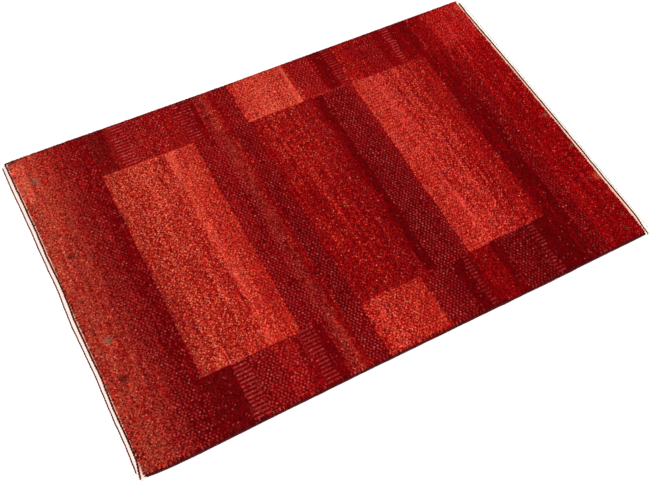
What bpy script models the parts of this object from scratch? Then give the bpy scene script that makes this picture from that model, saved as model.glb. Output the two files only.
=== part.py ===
"""Gabbeh rug, about 0.94 by 0.62 m: a hand-knotted wool pile rug lying flat.

+X runs along the rug's length, +Y across it to the far long side, and +Z up out of the pile.
The origin is on the floor, at the middle of the rug.
"""

import math
from collections import namedtuple

import bmesh
import bpy
from mathutils import Vector

MM = 0.001

# Driving dimensions, in metres
PILE_LENGTH = 0.913
RUG_WIDTH = 0.610
PILE_HEIGHT = 9.5 * MM
PILE_UNEVENNESS = 0.35 * MM
PILE_RIM_RADIUS = 2.6 * MM
PILE_CORNER_RADIUS = 5.0 * MM
SIDE_CORD_WIDTH = 4.6 * MM
SIDE_CORD_HEIGHT = 4.4 * MM
END_BAND_THICKNESS = 2.3 * MM
END_BAND_GROOVE_FLOOR = 0.8 * MM
END_BAND_LIP = 1.2 * MM
INNER_GUARD_RADIUS = 0.80 * MM
OUTER_GUARD_RADIUS = 0.65 * MM
GAP = 0.3 * MM

# How finely the long forms are divided
PILE_STEPS_ALONG = 44
PILE_STEPS_ACROSS = 30
SIDE_CORD_STEPS = 34
SIDE_CORD_FACETS = 10
END_BAND_STEPS = 40
GUARD_STEPS = 46
ROUNDING_SEGMENTS = 3

# How far the rug's long sides stray outside the nominal width, in millimetres, from left to right
Side = namedtuple("Side", "along near far")
SIDES = (
    Side(0.00, 3.9, 4.6),
    Side(0.08, 4.1, 4.5),
    Side(0.25, 2.6, 2.9),
    Side(0.42, 1.9, 1.7),
    Side(0.58, 1.6, 2.2),
    Side(0.75, 1.8, 2.4),
    Side(0.92, 0.4, 2.7),
    Side(1.00, 0.1, 2.9),
)

# How far out from the pile the two guard cords of an end lie, in millimetres, from near to far
End = namedtuple("End", "across inner outer")
LEFT_END = (
    End(0.00, 7.2, 12.9),
    End(0.05, 4.4, 11.4),
    End(0.10, 4.0, 10.6),
    End(0.18, 5.2, 11.3),
    End(0.29, 3.5, 10.4),
    End(0.38, 5.1, 11.9),
    End(0.45, 5.6, 12.9),
    End(0.56, 3.5, 10.8),
    End(0.65, 5.5, 12.2),
    End(0.75, 5.1, 12.4),
    End(0.85, 6.1, 13.3),
    End(0.91, 6.9, 14.3),
    End(1.00, 8.0, 14.1),
)
RIGHT_END = (
    End(0.00, 8.5, 13.8),
    End(0.10, 9.2, 14.2),
    End(0.21, 8.5, 13.6),
    End(0.35, 8.9, 14.0),
    End(0.50, 8.2, 13.3),
    End(0.65, 7.5, 13.2),
    End(0.78, 6.7, 13.0),
    End(0.88, 5.3, 12.4),
    End(1.00, 3.7, 12.0),
)

# Materials: 8-bit colour as it looks in daylight, and roughness
Wool = namedtuple("Wool", "red green blue roughness")
WOOLS = {
    "pile_wool": Wool(160, 36, 32, 0.95),
    "side_wool": Wool(82, 24, 26, 0.92),
    "band_wool": Wool(238, 205, 190, 0.95),
    "dark_guard_yarn": Wool(66, 38, 32, 0.90),
    "pale_guard_yarn": Wool(214, 190, 180, 0.92),
}

NEAR, FAR = -1, 1
LEFT, RIGHT = -1, 1


def clear_scene():
    for item in list(bpy.data.objects):
        bpy.data.objects.remove(item, do_unlink=True)


def collection(name):
    made = bpy.data.collections.new(name)
    bpy.context.scene.collection.children.link(made)
    return made


def linear(channel):
    """An 8-bit channel as the linear value that a shader takes."""
    share = channel / 255
    return share / 12.92 if share <= 0.04045 else ((share + 0.055) / 1.055) ** 2.4


def wool_material(name):
    wool = WOOLS[name]
    made = bpy.data.materials.get(name) or bpy.data.materials.new(name)
    made.use_nodes = True
    shader = made.node_tree.nodes["Principled BSDF"]
    colour = [linear(channel) for channel in (wool.red, wool.green, wool.blue)]
    shader.inputs["Base Color"].default_value = (*colour, 1.0)
    shader.inputs["Roughness"].default_value = wool.roughness
    shader.inputs["Metallic"].default_value = 0.0
    return made


def add_object(name, data, material, parts):
    made = bpy.data.objects.new(name, data)
    data.materials.append(wool_material(material))
    parts.objects.link(made)
    return made


def mesh_from(bm, name):
    bmesh.ops.recalc_face_normals(bm, faces=bm.faces)
    mesh = bpy.data.meshes.new(name)
    bm.to_mesh(mesh)
    bm.free()
    return mesh


def eased(table, column, share):
    """A column of a table at a share of the table's run, in metres, eased between its rows."""
    share = min(max(share, 0.0), 1.0)
    for low, high in zip(table, table[1:]):
        if share <= high[0]:
            step = (share - low[0]) / (high[0] - low[0])
            step = step * step * (3 - 2 * step)
            start, end = getattr(low, column), getattr(high, column)
            return (start + (end - start) * step) * MM
    return getattr(table[-1], column) * MM


def long_edge(side, x):
    """Y of the rug's outer edge on its near or far long side."""
    along = x / PILE_LENGTH + 0.5
    column = "near" if side == NEAR else "far"
    return side * (RUG_WIDTH / 2 + eased(SIDES, column, along))


def pile_edge(side, x):
    """Y of the pile's own edge, inside the side cord."""
    return long_edge(side, x) - side * (SIDE_CORD_WIDTH + GAP)


def pile_top(x, y):
    """Height of the sheared pile, with the slow rises and hollows of a hand-knotted one."""
    long_wave = math.sin(x / 0.118 + 1.7 * math.sin(y / 0.160))
    short_wave = math.sin(y / 0.071 + 0.9 * math.sin(x / 0.093) + 2.0)
    return PILE_HEIGHT + PILE_UNEVENNESS * (0.6 * long_wave + 0.4 * short_wave)


def make_pile(parts):
    """The knotted ground and its pile: one slab, flat below, with a rounded rim and corners."""
    bm = bmesh.new()
    bmesh.ops.create_grid(bm, x_segments=PILE_STEPS_ALONG, y_segments=PILE_STEPS_ACROSS, size=0.5)
    for vert in bm.verts:
        x = vert.co.x * PILE_LENGTH
        near, far = pile_edge(NEAR, x), pile_edge(FAR, x)
        y = near + (far - near) * (vert.co.y + 0.5)
        vert.co = (x, y, pile_top(x, y))

    rim = [edge for edge in bm.edges if edge.is_boundary]
    walls = bmesh.ops.extrude_edge_only(bm, edges=rim)["geom"]
    foot = [item for item in walls if isinstance(item, bmesh.types.BMVert)]
    for vert in foot:
        vert.co.z = 0.0
    foot_edges = [edge for edge in bm.edges if edge.is_boundary]
    bmesh.ops.holes_fill(bm, edges=foot_edges, sides=0)

    corners = []
    for edge in bm.edges:
        low, high = sorted((vert.co for vert in edge.verts), key=lambda co: co.z)
        upright = high.z - low.z > PILE_HEIGHT / 2
        if upright and PILE_LENGTH / 2 - abs(low.x) < GAP and at_long_edge(low):
            corners.append(edge)
    bmesh.ops.bevel(
        bm,
        geom=corners,
        offset=PILE_CORNER_RADIUS,
        segments=ROUNDING_SEGMENTS,
        profile=0.5,
        affect="EDGES",
    )

    weight = bm.edges.layers.float.new("bevel_weight_edge")
    bm.normal_update()
    for edge in bm.edges:
        upper = min(vert.co.z for vert in edge.verts) > PILE_HEIGHT / 2
        between = [abs(face.normal.z) > 0.5 for face in edge.link_faces]
        edge[weight] = 1.0 if upper and True in between and False in between else 0.0

    pile = add_object("pile", mesh_from(bm, "pile"), "pile_wool", parts)
    rounding = pile.modifiers.new("rounded_rim", "BEVEL")
    rounding.limit_method = "WEIGHT"
    rounding.width = PILE_RIM_RADIUS
    rounding.segments = ROUNDING_SEGMENTS
    pile.data.shade_smooth()
    pile.data.set_sharp_from_angle(angle=math.radians(40))


def at_long_edge(point):
    side = FAR if point.y > 0 else NEAR
    return abs(point.y - pile_edge(side, point.x)) < GAP


def poly_curve(name, points):
    """A curve of straight runs through the points, which the caller gives a section."""
    curve = bpy.data.curves.new(name, "CURVE")
    curve.dimensions = "3D"
    curve.twist_mode = "Z_UP"
    curve.use_fill_caps = True
    spline = curve.splines.new("POLY")
    spline.points.add(len(points) - 1)
    for target, point in zip(spline.points, points):
        target.co = (*point, 1.0)
    return curve


def side_cord_section(guides):
    """The section of an overcast side: an oval with a flat foot."""
    curve = bpy.data.curves.new("side_cord_section", "CURVE")
    curve.dimensions = "2D"
    spline = curve.splines.new("POLY")
    spline.points.add(SIDE_CORD_FACETS - 1)
    spline.use_cyclic_u = True
    flat = math.cos(math.pi / SIDE_CORD_FACETS)
    for index, target in enumerate(spline.points):
        angle = -2 * math.pi * index / SIDE_CORD_FACETS
        across = SIDE_CORD_WIDTH / 2 * math.cos(angle)
        up = SIDE_CORD_HEIGHT / 2 / flat * math.sin(angle)
        target.co = (across, up, 0.0, 1.0)
    section = bpy.data.objects.new("side_cord_section", curve)
    section.hide_render = True
    section.display_type = "WIRE"
    guides.objects.link(section)
    return section


def make_side_cord(name, side, section, parts):
    """The overcast edge of a long side, which follows the rug's outline."""
    points = []
    for step in range(SIDE_CORD_STEPS + 1):
        x = (step / SIDE_CORD_STEPS - 0.5) * PILE_LENGTH
        y = long_edge(side, x) - side * SIDE_CORD_WIDTH / 2
        points.append(Vector((x, y, SIDE_CORD_HEIGHT / 2)))
    curve = poly_curve(name, points)
    curve.bevel_mode = "OBJECT"
    curve.bevel_object = section
    add_object(name, curve, "side_wool", parts)


def end_point(end, table, column, across):
    """Where a guard cord of an end lies: its distance out from the pile, and its Y."""
    out = eased(table, column, across)
    x = end * PILE_LENGTH / 2
    near, far = long_edge(NEAR, x), long_edge(FAR, x)
    return out, near + (far - near) * across


def make_end_band(name, end, table, parts):
    """A plain-woven end: a thin strip with a groove and a lip, in which its two guard cords lie."""
    inner_half = INNER_GUARD_RADIUS + GAP
    outer_half = OUTER_GUARD_RADIUS + GAP
    top, floor = END_BAND_THICKNESS, END_BAND_GROOVE_FLOOR
    bm = bmesh.new()
    rings = []
    for step in range(END_BAND_STEPS + 1):
        across = step / END_BAND_STEPS
        inner, y = end_point(end, table, "inner", across)
        outer, y = end_point(end, table, "outer", across)
        section = (
            (GAP, 0.0),
            (GAP, top),
            (inner - inner_half, top),
            (inner - inner_half, floor),
            (inner + inner_half, floor),
            (inner + inner_half, top),
            (outer - outer_half, top),
            (outer - outer_half, floor),
            (outer + END_BAND_LIP, floor),
            (outer + END_BAND_LIP, 0.0),
        )
        rings.append([bm.verts.new((end * (PILE_LENGTH / 2 + out), y, z)) for out, z in section])
    for ring, after in zip(rings, rings[1:]):
        for index in range(len(ring)):
            following = (index + 1) % len(ring)
            bm.faces.new((ring[index], ring[following], after[following], after[index]))
    bm.faces.new(rings[0])
    bm.faces.new(rings[-1])
    add_object(name, mesh_from(bm, name), "band_wool", parts)


def make_guard_cord(name, end, table, column, radius, material, parts):
    """A twined cord across an end band, which keeps the weave from working loose."""
    height = END_BAND_GROOVE_FLOOR + GAP + radius
    points = []
    for step in range(GUARD_STEPS + 1):
        out, y = end_point(end, table, column, step / GUARD_STEPS)
        points.append(Vector((end * (PILE_LENGTH / 2 + out), y, height)))
    curve = poly_curve(name, points)
    curve.bevel_depth = radius
    curve.bevel_resolution = 2
    add_object(name, curve, material, parts)


def centre_on_origin(parts):
    """Moves the rug so that the middle of its box is over the origin."""
    bpy.context.view_layer.update()
    graph = bpy.context.evaluated_depsgraph_get()
    points = []
    for item in parts.objects:
        shape = item.evaluated_get(graph).to_mesh()
        points += [item.matrix_world @ vert.co for vert in shape.vertices]
        item.evaluated_get(graph).to_mesh_clear()
    for axis in (0, 1):
        values = [point[axis] for point in points]
        middle = (min(values) + max(values)) / 2
        for item in parts.objects:
            item.location[axis] -= middle


def main():
    clear_scene()
    parts = collection("gabbeh_rug")
    guides = collection("guides")
    section = side_cord_section(guides)

    make_pile(parts)
    make_side_cord("side_cord_near", NEAR, section, parts)
    make_side_cord("side_cord_far", FAR, section, parts)
    for label, end, table, outer_yarn in (
        ("left", LEFT, LEFT_END, "dark_guard_yarn"),
        ("right", RIGHT, RIGHT_END, "pale_guard_yarn"),
    ):
        make_end_band(f"end_band_{label}", end, table, parts)
        make_guard_cord(
            f"guard_cord_{label}_inner",
            end,
            table,
            "inner",
            INNER_GUARD_RADIUS,
            "dark_guard_yarn",
            parts,
        )
        make_guard_cord(
            f"guard_cord_{label}_outer",
            end,
            table,
            "outer",
            OUTER_GUARD_RADIUS,
            outer_yarn,
            parts,
        )
    centre_on_origin(parts)


main()
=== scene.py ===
"""Looks of the gabbeh rug: one tuft for each knot, woven ends, twined cords and overcast sides.

+X runs along the rug's length, +Y across it to the far long side, +Z up. Sizes are in metres.
"""

import math
from collections import namedtuple

import bpy
import numpy as np
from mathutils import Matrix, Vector


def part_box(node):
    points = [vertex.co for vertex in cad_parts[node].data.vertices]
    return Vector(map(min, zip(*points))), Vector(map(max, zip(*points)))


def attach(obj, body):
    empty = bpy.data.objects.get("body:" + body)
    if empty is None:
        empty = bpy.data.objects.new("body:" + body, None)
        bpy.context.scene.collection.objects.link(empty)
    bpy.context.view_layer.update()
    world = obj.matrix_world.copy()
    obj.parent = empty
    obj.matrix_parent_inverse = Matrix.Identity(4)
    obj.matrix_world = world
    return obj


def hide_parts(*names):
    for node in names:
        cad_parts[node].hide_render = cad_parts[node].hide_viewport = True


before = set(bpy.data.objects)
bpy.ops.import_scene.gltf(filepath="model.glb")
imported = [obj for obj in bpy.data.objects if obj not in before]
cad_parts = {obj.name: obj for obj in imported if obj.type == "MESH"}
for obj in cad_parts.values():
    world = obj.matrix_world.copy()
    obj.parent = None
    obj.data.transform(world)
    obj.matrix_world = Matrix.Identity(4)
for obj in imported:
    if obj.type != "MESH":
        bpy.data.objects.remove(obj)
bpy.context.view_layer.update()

MM = 0.001

# The knotting: rows run across the rug and follow each other along X
ROWS = 426
KNOTS = 270
NEAR_BORDER = 44
FAR_BORDER = 227

# The pile
GROUND_HEIGHT = 4.5 * MM
PILE_HEIGHT = 9.5 * MM
SHEAR_WAVE = 0.35 * MM
TUFT_DEPTH = 1.7 * MM
TUFT_LEAN = 0.25 * MM
TUFT_JITTER = 0.30 * MM
HEIGHT_JITTER = 0.25 * MM
CORNER_RADIUS = 1.4 * MM
NEAR_LEFT_DRAW = 2.8 * MM
NEAR_LEFT_REACH = 42.0 * MM
DRAWN_ROWS = 30
CORNER_MARGIN = 6.0 * MM
WAVER_ROWS = 0.35
LEANING_ROWS = 6
VALLEY_LEAN = 0.45
GROUND_INSET = 0.6 * MM

# At the rim the valleys and the tips lie lower, most at the outermost row and less at the next
RIM_FOOT = 0.3 * MM
NEXT_VALLEY_DROP = 0.5 * MM
RIM_TIP_DROP = 0.9 * MM
NEXT_TIP_DROP = 0.3 * MM

# How the bake maps are laid out: the pile in slices, and a long strip in stretches with gaps
SLICES = 6
STRETCHES = 3
MAP_EDGE = 0.004
MAP_GAP = 0.03
GROUND_MAP_WIDTH = 0.96
FAN_MAP_LEFT = 0.966
FAN_MAP_STEP = 0.017
FAN_MAP_WIDTH = 0.012

# A direction that no tuft points in
ASKEW = (0.123, 0.456, 0.881)

# Tufts that lean out over the rim. Their reach is a share of how far their side leans
# Their shade is painted shade and light: the lowest tufts are painted darker, the upper ones a
# little lighter
RimTuft = namedtuple("RimTuft", "root_height tip_height reach radius shade")
RIM_TUFTS = (
    RimTuft(1.8 * MM, 3.2 * MM, 1.0, 1.0 * MM, 0.75),
    RimTuft(3.4 * MM, 5.2 * MM, 1.0, 1.1 * MM, 1.00),
    RimTuft(5.2 * MM, 7.4 * MM, 0.9, 1.1 * MM, 1.05),
    RimTuft(6.4 * MM, 8.9 * MM, 0.5, 1.1 * MM, 1.05),
)
NEAR_LEAN = 2.2 * MM
FAR_LEAN = 2.2 * MM
RIGHT_LEAN = 0.2 * MM
RIM_INSET = 1.0 * MM
RIM_SCATTER = 0.4 * MM
RIM_TIP_SCATTER = 0.5 * MM

# How the ends of the pile lie from near to far, in millimetres: how far the left end's tufts lean
# over its woven band, and how far the right end is drawn in
EndLine = namedtuple("EndLine", "across left_lean right_draw")
END_LINES = (
    EndLine(0.00, 5.0, 1.2),
    EndLine(0.02, 3.6, 1.0),
    EndLine(0.08, 3.0, 0.8),
    EndLine(0.30, 2.4, 0.3),
    EndLine(0.45, 3.4, 0.4),
    EndLine(0.60, 2.6, 1.0),
    EndLine(0.76, 2.8, 2.2),
    EndLine(0.84, 3.9, 2.8),
    EndLine(0.90, 5.0, 3.2),
    EndLine(0.97, 6.2, 3.4),
    EndLine(1.00, 5.8, 3.4),
)

# The overcast sides. Each cord runs on past the pile at its two ends
SideRun = namedtuple("SideRun", "node left right yarn")
SIDE_RUNS = (
    SideRun("side_cord_near", 3.4 * MM, 0.8 * MM, "selvage"),
    SideRun("side_cord_far", 9.0 * MM, 2.4 * MM, "russet"),
)
SIDE_CORD_WIDTH = 4.6 * MM
SIDE_CORD_HEIGHT = 4.4 * MM
SIDE_TURNS = 435
SIDE_TURN_STEPS = 5
SIDE_FACETS = 12
SIDE_SLANT = 0.35
SIDE_WANDER = 0.12 * MM
SIDE_VALLEY_DEPTH = 0.16
# How much darker the valleys between the turns of yarn are painted, as painted shade
SIDE_VALLEY_PAINTED_SHADE = 0.45
SIDE_SHADES = (0.62, 1.3)
SIDE_YARN_BEND = 0.25 * MM
SIDE_BOUND_LENGTH = 7.0 * MM
SIDE_BOUND_STRAY = 2.0 * MM
BAND_CLEARANCE = 0.1 * MM

# The woven ends and their cords
BAND_THICKNESS = 2.3 * MM
BAND_WARPS = 540
BAND_WEFTS = 12
WEAVE_RELIEF = 0.22 * MM
GROOVE_DEPTH = 1.2 * MM
GROOVE_REACH = 1.1 * MM
BAND_CORNER = 12.0 * MM
BAND_PAST_CORD = 1.3 * MM
BAND_WAVE = 0.12 * MM
BAND_LIP_SHARE = 0.10
BAND_LIP_HEIGHT = 0.5 * MM
PEACH_BLEND = 0.15
FUZZ_INSET = 0.4 * MM
FUZZ_LENGTH = 2.4 * MM
FUZZ_SPREAD = 0.7 * MM
FUZZ_RADIUS = 0.3 * MM
BAND_SHELF = (0, 1.3)
FUZZ_SHELF = (1.05 * 4.6, 6.0)
GUARD_PITCH = 9.5 * MM
GUARD_STEPS = 900
GUARD_WANDER = 0.22 * MM
STRAND_FACETS = 6
STRAND_OFFSET = 0.45
STRAND_RADIUS = 0.62
FLOOR_CLEARANCE = 0.05 * MM

# The pile's wool runs from the deepest dye bath to the palest. 8-bit colour in even light
Yarn = namedtuple("Yarn", "red green blue")
WOOL_TONES = (
    Yarn(88, 0, 4),
    Yarn(106, 1, 6),
    Yarn(120, 4, 8),
    Yarn(135, 5, 9),
    Yarn(149, 11, 13),
    Yarn(163, 22, 18),
    Yarn(177, 35, 25),
    Yarn(194, 51, 34),
    Yarn(213, 73, 48),
    Yarn(230, 101, 75),
)
# The studio light is bright, so that dyed wool is a little deeper than it looks
DYE_DEPTH = 0.815
YARNS = {
    "rose": Yarn(228, 84, 80),
    "pale_rose": Yarn(240, 116, 106),
    "clay": Yarn(170, 84, 62),
    "sage": Yarn(120, 100, 84),
    "bark": Yarn(60, 28, 24),
    "olive": Yarn(110, 62, 42),
    "rust": Yarn(226, 92, 58),
    "selvage": Yarn(80, 20, 24),
    "russet": Yarn(120, 40, 40),
    "umber": Yarn(44, 16, 10),
    "cream": Yarn(238, 210, 202),
    "peach": Yarn(240, 182, 158),
    "black": Yarn(34, 10, 4),
    "brown": Yarn(92, 34, 20),
    "ash": Yarn(206, 194, 178),
    "undyed": Yarn(242, 230, 222),
}

# A weaver's chart of each zone. A band starts at a row and runs to the next band, and its tone
# passes from start to end. Mottle is how much single knots stray from it. Pale motifs are worked
# in rose, dark ones in the deepest wool, and share is how much of a knot the motif's wool fills.
Band = namedtuple("Band", "row start end mottle motif share", defaults=("plain", 0))
FIELD_CHART = (
    Band(0, 5.0, 5.0, 1.0),
    Band(12, 4.9, 3.8, 1.0),
    Band(24, 3.0, 2.0, 0.9, "loose", 0.4),
    Band(35, 1.8, 1.8, 0.7, "lattice", 0.45),
    Band(47, 1.0, 1.0, 0.5, "sparse", 0.6),
    Band(61, 4.5, 5.0, 1.1),
    Band(72, 5.5, 5.5, 1.2),
    Band(98, 5.3, 5.3, 1.2),
    Band(114, 7.3, 6.8, 0.8),
    Band(121, 6.2, 6.2, 0.8),
    Band(127, 6.4, 5.9, 0.6, "spots", 1.0),
    Band(140, 1.8, 1.8, 0.6, "lattice", 0.6),
    Band(149, 1.8, 1.8, 0.6, "loose", 0.6),
    Band(155, 1.5, 2.5, 0.7, "lattice", 0.7),
    Band(161, 2.5, 2.0, 0.9, "loose", 0.5),
    Band(168, 2.5, 2.5, 1.0),
    Band(174, 0.8, 1.3, 0.5, "lattice", 0.5),
    Band(190, 2.6, 3.5, 0.9),
    Band(196, 3.4, 3.4, 1.0),
    Band(216, 3.3, 2.8, 1.0),
    Band(233, 2.5, 2.0, 0.9, "sparse", 0.5),
    Band(247, 2.0, 1.5, 0.5),
    Band(251, 0.5, 0.5, 0.4),
    Band(258, 1.0, 1.0, 0.4, "lattice", 0.5),
    Band(268, 1.0, 1.0, 0.4, "lattice", 0.8),
    Band(273, 1.0, 1.0, 0.4, "lattice", 0.5),
    Band(281, 1.4, 2.0, 0.4, "lattice", 0.5),
    Band(288, 6.5, 7.0, 0.7, "zigzag", 1.0),
    Band(305, 7.9, 7.2, 0.9, "stray", 1.0),
    Band(310, 6.4, 6.0, 1.0, "stray", 1.0),
    Band(318, 5.6, 5.6, 1.3),
    Band(333, 4.7, 4.2, 1.1),
    Band(346, 4.3, 3.3, 0.8),
    Band(360, 2.8, 2.3, 0.7),
    Band(362, 1.1, 0.9, 0.4),
    Band(369, 2.0, 2.0, 0.8),
    Band(371, 0.8, 0.8, 0.5),
    Band(379, 1.4, 1.9, 0.7, "loose", 0.4),
    Band(390, 2.1, 3.0, 0.9, "sparse", 0.35),
    Band(395, 3.5, 3.0, 0.9),
    Band(402, 2.9, 2.9, 0.9),
    Band(418, 3.0, 3.5, 1.0),
)
FAR_CHART = (
    Band(0, 8.4, 7.2, 0.9),
    Band(8, 6.1, 6.0, 1.0),
    Band(17, 4.7, 4.2, 0.9),
    Band(29, 3.2, 2.7, 0.8, "sparse", 0.5),
    Band(37, 2.5, 2.5, 0.7, "loose", 0.5),
    Band(48, 2.0, 1.5, 0.6, "sparse", 0.5),
    Band(61, 1.2, 1.2, 0.5),
    Band(76, 2.6, 2.6, 0.5),
    Band(82, 2.4, 2.4, 0.5, "comb", 0.5),
    Band(93, 2.8, 2.8, 0.8, "loose", 0.6),
    Band(116, 3.0, 3.0, 0.9, "loose", 0.6),
    Band(122, 3.0, 3.0, 0.8, "sparse", 0.5),
    Band(138, 2.5, 2.3, 0.4, "comb", 0.35),
    Band(143, 2.4, 2.4, 0.4),
    Band(145, 1.5, 1.5, 0.4, "comb", 0.4),
    Band(151, 1.7, 1.7, 0.4),
    Band(156, 2.4, 2.9, 0.9, "loose", 0.6),
    Band(164, 4.0, 4.0, 1.0),
    Band(170, 3.0, 2.5, 0.8),
    Band(174, 1.9, 1.9, 0.4, "lattice", 0.5),
    Band(189, 6.5, 6.7, 0.9, "stray", 0.8),
    Band(198, 7.1, 8.1, 0.9, "stray", 1.0),
    Band(213, 7.6, 7.6, 0.9, "stray", 1.0),
    Band(226, 7.2, 7.2, 0.6, "spots", 1.0),
    Band(237, 8.2, 8.2, 0.5),
    Band(241, 5.0, 4.5, 0.8),
    Band(245, 3.1, 3.1, 0.5, "lattice", 0.6),
    Band(268, 1.4, 1.4, 0.4),
    Band(279, 2.2, 2.2, 0.4, "comb", 0.25),
    Band(288, 2.8, 2.8, 0.5),
    Band(290, 5.2, 5.2, 0.8),
    Band(292, 3.8, 3.8, 0.9),
    Band(303, 3.3, 2.8, 0.8, "sparse", 0.5),
    Band(316, 2.5, 2.5, 0.6, "lattice", 0.4),
    Band(331, 2.3, 2.3, 0.5),
    Band(341, 2.5, 2.5, 0.4, "comb", 0.5),
    Band(348, 2.0, 2.0, 0.5),
    Band(358, 1.5, 1.5, 0.4),
    Band(369, 3.8, 3.8, 0.8),
    Band(371, 2.6, 3.6, 0.6),
    Band(385, 4.4, 5.4, 0.8, "sparse", 0.35),
    Band(391, 5.3, 5.3, 0.9),
    Band(420, 5.8, 6.2, 1.0),
)
NEAR_CHART = (
    Band(0, 3.5, 4.0, 1.1),
    Band(9, 4.1, 3.6, 1.1),
    Band(18, 3.2, 2.2, 1.0, "sparse", 0.6),
    Band(29, 2.0, 1.0, 0.8, "loose", 0.6),
    Band(40, 0.5, 0.5, 0.5, "loose", 0.6),
    Band(52, 0.2, 0.2, 0.5, "sparse", 0.5),
    Band(61, 0.1, 0.1, 0.3),
    Band(82, 1.2, 1.2, 0.5, "comb", 0.4),
    Band(95, 1.6, 1.6, 0.7, "lattice", 0.6),
    Band(116, 3.1, 3.1, 0.8, "loose", 0.6),
    Band(129, 1.9, 1.9, 0.6, "sparse", 0.6),
    Band(138, 1.6, 1.1, 0.4, "comb", 0.3),
    Band(149, 1.0, 1.0, 0.4),
    Band(156, 2.0, 2.5, 0.8, "loose", 0.6),
    Band(163, 3.0, 3.4, 1.0, "loose", 0.6),
    Band(167, 4.5, 4.5, 0.8),
    Band(169, 2.5, 2.5, 0.7),
    Band(174, 1.2, 1.2, 0.4, "lattice", 0.7),
    Band(189, 5.4, 5.9, 1.1, "stray", 1.0),
    Band(198, 6.8, 6.8, 1.1, "stray", 1.0),
    Band(209, 5.8, 6.3, 0.9, "spots", 0.9),
    Band(224, 6.0, 6.0, 0.6, "spots", 1.0),
    Band(239, 5.6, 5.6, 0.6),
    Band(242, 1.9, 1.3, 0.5, "lattice", 0.6),
    Band(256, 0.9, 0.9, 0.4, "lattice", 0.4),
    Band(270, 0.0, 0.0, 0.3),
    Band(279, 1.0, 1.0, 0.4, "comb", 0.25),
    Band(284, 1.0, 1.5, 0.5),
    Band(290, 3.0, 3.0, 0.8),
    Band(292, 2.2, 2.2, 0.7),
    Band(305, 0.5, 0.5, 0.4),
    Band(312, 0.5, 0.5, 0.5, "lattice", 0.4),
    Band(330, 0.0, 0.0, 0.4, "loose", 0.4),
    Band(341, 0.5, 0.5, 0.3, "comb", 0.3),
    Band(348, 0.0, 0.0, 0.3),
    Band(369, 1.0, 1.0, 0.5),
    Band(371, 0.2, 0.2, 0.5, "sparse", 0.25),
    Band(379, 0.8, 1.3, 0.7, "loose", 0.35),
    Band(392, 3.0, 3.5, 0.8),
    Band(398, 2.2, 2.2, 0.9, "sparse", 0.25),
    Band(418, 2.5, 3.0, 1.0),
)

# Dots stand four knots apart in lines, and each second line's dots lie between the first's. A
# zigzag is closer along the rug, and a comb has long teeth. Worked is how many of a motif's places
# are worked, and a place's share of the motif's wool runs from least up by spread
Motif = namedtuple("Motif", "pattern worked least spread")
MOTIFS = {
    "lattice": Motif("dots", 0.92, 0.34, 0.62),
    "loose": Motif("dots", 0.76, 0.28, 0.74),
    "sparse": Motif("dots", 0.50, 0.18, 1.10),
    "comb": Motif("teeth", 0.90, 0.45, 0.75),
    "spots": Motif("dots", 0.90, 0.75, 0.50),
    "zigzag": Motif("zigzag", 0.90, 0.75, 0.50),
    "stray": Motif("dots", 0.50, 0.60, 0.90),
}
DARK_MOTIFS = ("spots", "zigzag", "stray")

# Rows where the wool changes at once, from edge to edge of a zone
SHARP_ROWS = (0, 61, 140, 189, 241, 288, 362, 426)

# From row to row, how much brownish wool is carded in and how clear of orange the red is
Dye = namedtuple("Dye", "row brown clear")
DYES = (
    Dye(0, 0.26, 0.00),
    Dye(22, 0.18, 0.10),
    Dye(34, 0.10, 0.30),
    Dye(48, 0.02, 0.30),
    Dye(60, 0.00, 0.30),
    Dye(61, 0.14, 0.00),
    Dye(76, 0.04, 0.00),
    Dye(92, 0.02, 0.00),
    Dye(112, 0.00, 0.15),
    Dye(156, 0.00, 0.15),
    Dye(163, 0.14, 0.15),
    Dye(172, 0.00, 0.30),
    Dye(187, 0.00, 0.30),
    Dye(190, 0.00, 0.25),
    Dye(245, 0.00, 0.15),
    Dye(289, 0.00, 0.28),
    Dye(310, 0.00, 0.40),
    Dye(364, 0.00, 0.25),
    Dye(400, 0.00, 0.60),
    Dye(426, 0.00, 0.65),
)

PANEL_ROWS = (61, 362)

# The right panel, which is the sixth block of rows, has a near edge that runs a little askew
RIGHT_PANEL = 6
PANEL_SLANT_ROW = 280
PANEL_SLANT = 0.042

# How far single knots and streaks across the rug stray from a band's tone, by how much streaks are
# calmer in the borders, and how unlike in lightness two tufts of one tone are
GRAIN = 2.2
GRAIN_SHARPNESS = 0.15
STREAKS = 1.15
BORDER_CALM = 0.5
TUFT_CONTRAST = 0.25
LINE_STRAY = 0.5

# How many rows a band's edge wanders, and how many knots a border's edge does outside the panels
BAND_EDGE_ROWS = 1.2
BORDER_EDGE_KNOTS = 14

# What a clear dye and a change of hue do to the red, green and blue of the wool
CLEARING = (0, 1, 0.6)
HUE_CHANGE = (0, -0.05, 0.10)

# Brownish wool strays by its own patches and by the knot, and shows fully from this tone up
BROWN_PATCHES = 0.7
BROWN_GRAIN = 0.5
BROWN_TONE = 4

# Single knots far paler than their neighbours: from which grain, and how pale, in the plain wool
# and in the motifs
PLAIN_GLINT = 0.2
PLAIN_GLINT_GRAIN = 2.3
MOTIF_GLINT = 0.4
MOTIF_GLINT_GRAIN = 1.4
MOTIF_GLINT_SHARE = 0.25

# How the wool deepens and pales across the rug: partly uneven dye, partly painted light on the far
# side
DyeAndLightDrift = namedtuple("DyeAndLightDrift", "knot tone")
DYE_AND_LIGHT_DRIFTS = (
    DyeAndLightDrift(0, 0.2),
    DyeAndLightDrift(30, 0.1),
    DyeAndLightDrift(46, 0.0),
    DyeAndLightDrift(80, -0.3),
    DyeAndLightDrift(105, -0.1),
    DyeAndLightDrift(135, 0.0),
    DyeAndLightDrift(165, 0.3),
    DyeAndLightDrift(190, 0.6),
    DyeAndLightDrift(228, 0.7),
    DyeAndLightDrift(245, 0.2),
    DyeAndLightDrift(270, 0.0),
)

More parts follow.
